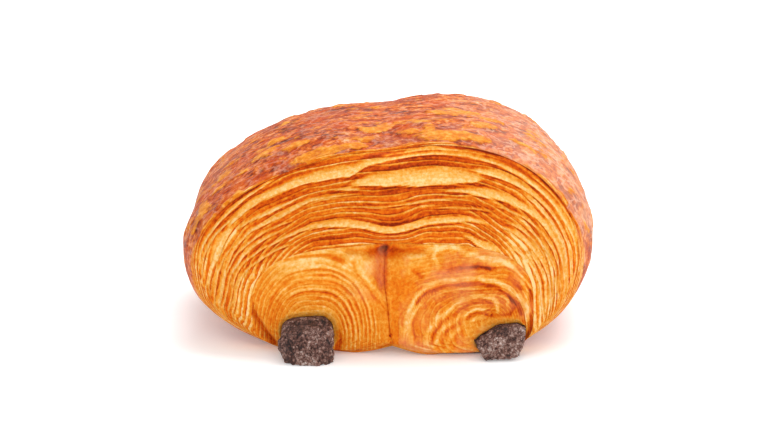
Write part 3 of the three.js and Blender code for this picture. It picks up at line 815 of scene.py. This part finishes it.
def stick_object(name, seed):
    """A stick with craggy free ends that have sagged and softened in the oven."""
    stick = STICKS[name]
    start, stop = stick["start"], stick["stop"]
    near = np.arange(start, -STRAIGHT + 3, STICK_STEP)
    inside = np.array([-20.0, 0.0, 20.0])
    far = np.arange(stop, STRAIGHT - 3, -STICK_STEP)[::-1]
    stations = np.concatenate([near, inside, far])
    turn = np.arange(STICK_SIDES) / STICK_SIDES * 2 * np.pi
    cos, sin = np.cos(turn)[None], np.sin(turn)[None]
    y = stations[:, None]
    free = smooth((np.abs(y) - STRAIGHT) / 3)
    end = np.minimum(y - start, stop - y)
    lump = 0.05 * free * noise(2 * cos, y / 3, 2 * sin, 11)
    size = (1 - STICK_TIP["narrowing"] * bell(end / STICK_TIP["over"])) * (1 + 0.04 * free + lump)
    x, z = stick_outline(stick, np.broadcast_to(turn, size.shape), size, 0)
    near_x, near_z = trimmed(name, x, z)
    opening = smooth((-y - 33) / 2)
    x, z = mix(x, near_x, opening), mix(z, near_z, opening)
    z = z - STICK_SAG * free
    slump = free * smooth(1 - z / MELT_HEIGHT)
    ragged = 1 + 0.35 * noise(x / 1.6, 0, 0, seed + 5) + 0.2 * noise(x / 0.6, 0, 0, seed + 6)
    forward = MELT[name]["forward"] * slump * ragged * smooth((3 - end) / 3)
    x = x + MELT[name]["sideways"] * slump
    y = y + np.where(y < 0, -forward, 0.3 * forward)
    z = (z - MELT_DROP * slump) * (1 - 0.85 * free * smooth(-1.6 * sin))
    side_points = np.stack([x, y, z], -1)

    caps = {}
    for side, ring in ((-1, side_points[0]), (1, side_points[-1])):
        centre = ring.mean(0)
        inward = (1 - (np.arange(STICK_CAP_ROWS) + 1) / STICK_CAP_ROWS)[:-1, None, None]
        cap = centre + (ring - centre) * inward
        cap[..., 1] += side * STICK_TIP["bulge"] * (1 - inward[..., 0] ** 2)
        caps[side] = cap
    rows = np.concatenate([caps[-1][::-1], side_points, caps[1]])
    cracks = noise_at(rows, CRACK["size"], seed + len(CRAGS))
    crag = -CRACK["depth"] * bell(cracks / CRACK["width"])
    for n, (height, size) in enumerate(CRAGS):
        crag += height * noise_at(rows, size, seed + n)
    loose = smooth((np.abs(rows[..., 1]) - STRAIGHT + 1.5) / 1.5)
    points = rows + outward(rows) * (crag * loose)[..., None]
    points[..., 2] = np.maximum(points[..., 2], 0.02)

    number = np.arange(points[..., 0].size).reshape(points.shape[:2])
    faces = []
    for nearer, farther in zip(number, number[1:]):
        faces.extend(between(farther, nearer).tolist())
    tips = [points[0].mean(0), points[-1].mean(0)]
    for near_corners in zip(number[0], np.roll(number[0], -1)):
        faces.append([number.size, *near_corners])
    for far_corners in zip(np.roll(number[-1], -1), number[-1]):
        faces.append([number.size + 1, *far_corners])
    return mesh_object(name + "_craggy", np.vstack([*points, tips]), faces)


# Materials

class Material:
    """Short way to build a node material."""

    def __init__(self, name):
        self.material = bpy.data.materials.new(name)
        self.material.use_nodes = True
        self.tree = self.material.node_tree
        self.shader = self.tree.nodes["Principled BSDF"]

    def add(self, kind, inputs=None, **settings):
        made = self.tree.nodes.new("ShaderNode" + kind)
        for key, value in settings.items():
            setattr(made, key, value)
        for key, value in (inputs or {}).items():
            self.set(made.inputs[key], value)
        return made

    def set(self, socket, value):
        if isinstance(value, bpy.types.NodeSocket):
            self.tree.links.new(value, socket)
        else:
            socket.default_value = value

    def values(self, name):
        return self.add("Attribute", attribute_name=name)

    def math(self, operation, *terms):
        made = self.add("Math", operation=operation)
        for socket, term in zip(made.inputs, terms):
            self.set(socket, term)
        return made.outputs[0]

    def shade(self, values):
        """Sets the shader's own inputs."""
        for name, value in values.items():
            self.set(self.shader.inputs[name], value)

    def noise(self, vector, scale, detail, roughness):
        """Noise at one scale, or at its own along each axis."""
        if isinstance(scale, tuple):
            scaled = self.add("VectorMath", {0: vector, 1: scale}, operation="MULTIPLY")
            vector, scale = scaled.outputs[0], 1.0
        inputs = {"Vector": vector, "Scale": scale, "Detail": detail, "Roughness": roughness}
        return self.add("TexNoise", inputs).outputs["Fac"]

    def patches(self, vector, scale, detail, roughness, low, high):
        """Noise stretched so that it is 0 at low and 1 at high."""
        return self.spread(self.noise(vector, scale, detail, roughness), low, high)

    def times(self, value, factor, plus=0.0):
        """A value times a factor, plus another value."""
        return self.math("MULTIPLY_ADD", value, factor, plus)

    def vary(self, value, pattern, amount):
        """A value made uneven by a pattern from 0 to 1."""
        return self.times(self.math("ADD", pattern, -0.5), amount, value)

    def either(self, factor, first, second):
        return self.add("Mix", {0: factor, 2: first, 3: second}, data_type="FLOAT").outputs[0]

    def bump(self, strength, height):
        inputs = {"Strength": strength, "Distance": BUMP_DEPTH, "Height": height}
        return self.add("Bump", inputs).outputs["Normal"]

    def ramp(self, factor, stops):
        made = self.add("ValToRGB", {"Fac": factor})
        elements = made.color_ramp.elements
        while len(elements) < len(stops):
            elements.new(0.5)
        for element, (position, color) in zip(elements, stops):
            element.position = position
            element.color = srgb(*color)
        return made.outputs["Color"]

    def blend(self, factor, first, second):
        """A mix of two colours."""
        made = self.add("Mix", data_type="RGBA")
        for socket, value in zip((made.inputs[0], made.inputs[6], made.inputs[7]), (factor, first, second)):
            self.set(socket, value)
        return made.outputs[2]

    def spread(self, value, low, high):
        """A value stretched so that it is 0 at low and 1 at high."""
        inputs = {"Value": value, "From Min": low, "From Max": high}
        return self.add("MapRange", inputs, clamp=True).outputs[0]


def srgb(red, green, blue):
    """A colour from its eight-bit display values."""
    def linear(value):
        value = value / 255
        return value / 12.92 if value <= 0.04045 else ((value + 0.055) / 1.055) ** 2.4

    return (linear(red), linear(green), linear(blue), 1.0)


LAYER_COLORS = [
    (0.00, (122, 34, 4)), (0.14, (162, 50, 4)), (0.30, (194, 74, 6)), (0.45, (212, 98, 9)),
    (0.60, (221, 126, 25)), (0.76, (229, 157, 58)), (0.90, (236, 179, 98)), (1.00, (241, 202, 138)),
]
CRUST_COLORS = [
    (0.00, (88, 26, 8)), (0.22, (142, 50, 12)), (0.42, (186, 80, 18)), (0.60, (210, 114, 44)),
    (0.80, (224, 152, 98)), (1.00, (232, 178, 140)),
]
MAUVE = (152, 76, 64)
ROSY = (226, 150, 106)
# Pale pink of the crust's crinkles and of the painted sheen on its right shoulder
PALE_PINK = (236, 182, 154)
BURNT = (190, 68, 8)
BLISTER_COLORS = [(0.0, (198, 92, 10)), (0.5, (222, 138, 30)), (1.0, (238, 182, 92))]
DOUGH_FINISH = {
    "Subsurface Weight": 0.10,
    "Subsurface Radius": (1.0, 0.45, 0.18),
    "Subsurface Scale": 0.0012,
    "Specular IOR Level": 0.03,
    "Coat Weight": 0.02,
    "Coat Roughness": 0.35,
    "Sheen Weight": 0.03,
    "Sheen Roughness": 0.45,
    "Sheen Tint": (1.0, 0.86, 0.84, 1.0),
}
CHOCOLATE_COLORS = [
    (0.0, (26, 12, 9)), (0.28, (70, 37, 29)), (0.50, (118, 78, 66)), (0.75, (160, 126, 114)),
    (1.0, (214, 194, 186)),
]
BUMP_DEPTH = 0.0004


def dough_material():
    made = Material("baked_dough")
    place = made.add("TexCoord").outputs["Object"]
    grain = made.values("grain").outputs["Vector"]
    shades = [made.values(name).outputs["Fac"] for name in SHADES]
    tone, layered, opened, on_crust, blister, pink_crinkle_and_sheen = shades
    level, along, end = made.add("SeparateXYZ", {0: grain}).outputs

    # Baked layers: each has its own shade and starts at a browned line
    layer = made.math("FLOOR", level)
    inside = made.math("FRACT", level)

    def by_layer(layer_step, along_step, roughness, low, high):
        terms = (made.times(layer, layer_step), made.times(along, along_step), end)
        spot = made.add("CombineXYZ", dict(enumerate(terms))).outputs[0]
        return made.patches(spot, 1, 2, roughness, low, high)

    shade = by_layer(7.31, 0.05, 0.5, 0.3, 0.7)
    gap = by_layer(3.17, 0.10, 0.6, 0.35, 0.65)
    line = made.spread(inside, 0.24, 0.0)
    line = made.times(line, made.times(gap, 0.8, 0.2))
    gap_start = made.vary(made.math("SUBTRACT", 1.0, opened), gap, 0.24)
    open_part = made.spread(made.math("SUBTRACT", inside, gap_start), -0.14, 0.10)
    open_part = made.times(open_part, made.times(shade, 0.5, 0.5))
    threads = made.patches(grain, (1.9, 0.6, 1), 4, 0.65, 0.3, 0.7)
    crumb = made.patches(place, 1400, 3, 0.65, 0.3, 0.7)
    baked = made.times(shade, 0.20, -0.20)
    baked = made.times(open_part, 0.42, baked)
    baked = made.times(line, -0.20, baked)
    baked = made.vary(baked, threads, 0.22)
    uneven = made.times(baked, layered, tone)
    uneven = made.vary(made.vary(uneven, threads, 0.10), crumb, 0.26)
    rosy = made.patches(place, 110, 3, 0.6, 0.44, 0.62)
    rosy = made.times(rosy, made.times(pink_crinkle_and_sheen, 0.55))
    layers = made.blend(rosy, made.ramp(uneven, LAYER_COLORS), srgb(*ROSY))

    # Crust: mottling, burnt and dusky patches, pale crinkles, a painted pale pink sheen on the right
    # shoulder and golden blisters
    streaks = made.patches(place, (290, 340, 320), 5, 0.7, 0.3, 0.7)
    flecks = made.patches(place, (800, 850, 820), 3, 0.6, 0.35, 0.7)
    mottle = made.patches(place, (130, 170, 150), 3, 0.6, 0.3, 0.7)
    browned = tone
    for pattern, amount in ((streaks, 0.70), (flecks, 0.50), (mottle, 0.30)):
        browned = made.vary(browned, pattern, amount)
    burnt = made.patches(place, (130, 190, 160), 4, 0.6, 0.50, 0.60)
    burnt = made.times(burnt, made.times(pink_crinkle_and_sheen, -0.35, 0.60))
    dusky = made.patches(place, (140, 190, 170), 4, 0.6, 0.48, 0.36)
    dusky = made.times(dusky, 0.50)
    crossing = made.noise(place, (180, 240, 210), 4, 0.55)
    crinkle = made.spread(made.math("ABSOLUTE", made.math("ADD", crossing, -0.5)), 0.040, 0.0)
    crinkle = made.times(crinkle, made.times(pink_crinkle_and_sheen, 0.45, 0.30))
    density = made.times(blister, 0.26, -0.10)
    swollen = made.math("ADD", made.noise(place, (220, 300, 260), 5, 0.6), density)
    swollen = made.spread(swollen, 0.51, 0.61)
    crust = made.ramp(browned, CRUST_COLORS)
    crust = made.blend(burnt, crust, srgb(*BURNT))
    crust = made.blend(dusky, crust, srgb(*MAUVE))
    # Painted sheen: pale pink over the right shoulder
    crust = made.blend(made.times(pink_crinkle_and_sheen, 0.30), crust, srgb(*PALE_PINK))
    crust = made.blend(crinkle, crust, srgb(*PALE_PINK))
    golden = made.times(flecks, 0.6, made.times(streaks, 0.4))
    golden = made.ramp(golden, BLISTER_COLORS)
    crust = made.blend(made.times(swollen, 0.85), crust, golden)

    dry = made.times(crumb, 0.15, 0.55)
    glazed = made.times(streaks, 0.26, 0.34)
    step = made.times(open_part, 0.9, made.times(line, -0.6))
    height = made.times(threads, 0.5, made.times(crumb, 0.3))
    height = made.times(step, layered, height)
    crust_height = made.times(streaks, 0.7, made.times(flecks, 0.5))
    crust_height = made.times(crinkle, 0.6, crust_height)
    crust_height = made.times(swollen, 0.5, crust_height)
    height = made.either(on_crust, height, crust_height)
    made.shade({
        "Base Color": made.blend(on_crust, layers, crust),
        "Roughness": made.either(on_crust, dry, glazed),
        "Normal": made.bump(0.8, height),
        **DOUGH_FINISH,
    })
    return made.material


def chocolate_material():
    made = Material("baked_chocolate")
    place = made.add("TexCoord").outputs["Object"]
    grit = made.patches(place, 1300, 4, 0.7, 0.3, 0.7)
    specks = made.patches(place, 2300, 2, 0.6, 0.60, 0.70)
    bloom = made.patches(place, 260, 3, 0.6, 0.35, 0.68)
    cell_inputs = {"Vector": place, "Scale": 1500.0}
    cracks = made.add("TexVoronoi", cell_inputs, feature="DISTANCE_TO_EDGE").outputs["Distance"]
    between_cracks = made.spread(cracks, 0.0, 0.14)
    height_up = made.add("SeparateXYZ", {0: place}).outputs["Z"]
    # Paler low down on the sticks, within 4.5 mm of the table
    paler_low_down = made.spread(height_up, 0.0045, 0.0)
    shade = made.times(grit, 0.85, made.times(bloom, 0.45))
    shade = made.times(between_cracks, 0.22, made.math("ADD", shade, -0.36))
    shade = made.times(paler_low_down, 0.20, shade)
    shade = made.times(specks, 0.30, shade)
    height = made.times(grit, 0.8, made.times(between_cracks, 0.5))
    made.shade({
        "Base Color": made.ramp(shade, CHOCOLATE_COLORS),
        "Roughness": made.times(bloom, 0.25, 0.5),
        "Normal": made.bump(0.9, height),
    })
    return made.material


# Pastry and sticks

skin = dough_skin()
paint = {key: np.concatenate(parts) for key, parts in skin.paint.items()}
pastry = mesh_object("dough", np.concatenate(skin.points), np.concatenate(skin.faces), paint)
pastry.data.materials.append(dough_material())
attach(pastry, "root")
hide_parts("pastry")

chocolate = chocolate_material()
for name, seed in STICK_SEEDS.items():
    stick = stick_object(name, seed)
    stick.data.materials.append(chocolate)
    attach(stick, "root")
    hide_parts(name)


# Table, light and camera

TABLE_GLOW = 0.17
SKY_GLOW = 0.74
# Soft lights: their place and aim, width and length in metres, and power in watts.
LIGHTS = {
    "overhead": ((0.20, 0.38, 0.78), (0, 0, 0), (0.8, 0.7), 8.2),
    "front": ((0.10, -0.9, 0.45), (0, 0, 0.02), (0.6, 0.4), 3.5),
}

bpy.ops.mesh.primitive_plane_add(size=6)
table = bpy.context.object
table.name = "table"
white = Material("white_table")
white.shade({
    "Base Color": (0.93, 0.93, 0.93, 1),
    "Roughness": 0.7,
    "Specular IOR Level": 0.2,
    "Emission Color": (1, 1, 1, 1),
    "Emission Strength": TABLE_GLOW,
})
table.data.materials.append(white.material)

world = scene.world or bpy.data.worlds.new("studio")
scene.world = world
world.use_nodes = True
background = world.node_tree.nodes["Background"]
background.inputs["Color"].default_value = (1, 1, 1, 1)
background.inputs["Strength"].default_value = SKY_GLOW

for name, (place, aim, size, power) in LIGHTS.items():
    light = bpy.data.lights.new(name, "AREA")
    light.shape = "RECTANGLE"
    light.size, light.size_y = size
    light.energy = power
    lamp = bpy.data.objects.new(name, light)
    lamp.location = place
    lamp.rotation_euler = (Vector(aim) - Vector(place)).to_track_quat("-Z", "Y").to_euler()
    scene.collection.objects.link(lamp)

CAMERA_DISTANCE = 600.0
CAMERA_ELEVATION = math.radians(13.0)
CAMERA_TARGET = (0.36, 0.0, 20.8)
CAMERA_SENSOR = 36.0
CAMERA_LENS = 124.6
camera_data = bpy.data.cameras.new("camera")
camera_data.sensor_width = CAMERA_SENSOR
camera_data.lens = CAMERA_LENS
camera = bpy.data.objects.new("camera", camera_data)
target = Vector(CAMERA_TARGET) * MM
away = Vector((0, -math.cos(CAMERA_ELEVATION), math.sin(CAMERA_ELEVATION)))
camera.location = target + away * CAMERA_DISTANCE * MM
camera.rotation_euler = (-away).to_track_quat("-Z", "Y").to_euler()
scene.collection.objects.link(camera)
bpy.context.scene.camera = camera
scene.view_settings.view_transform = "Standard"
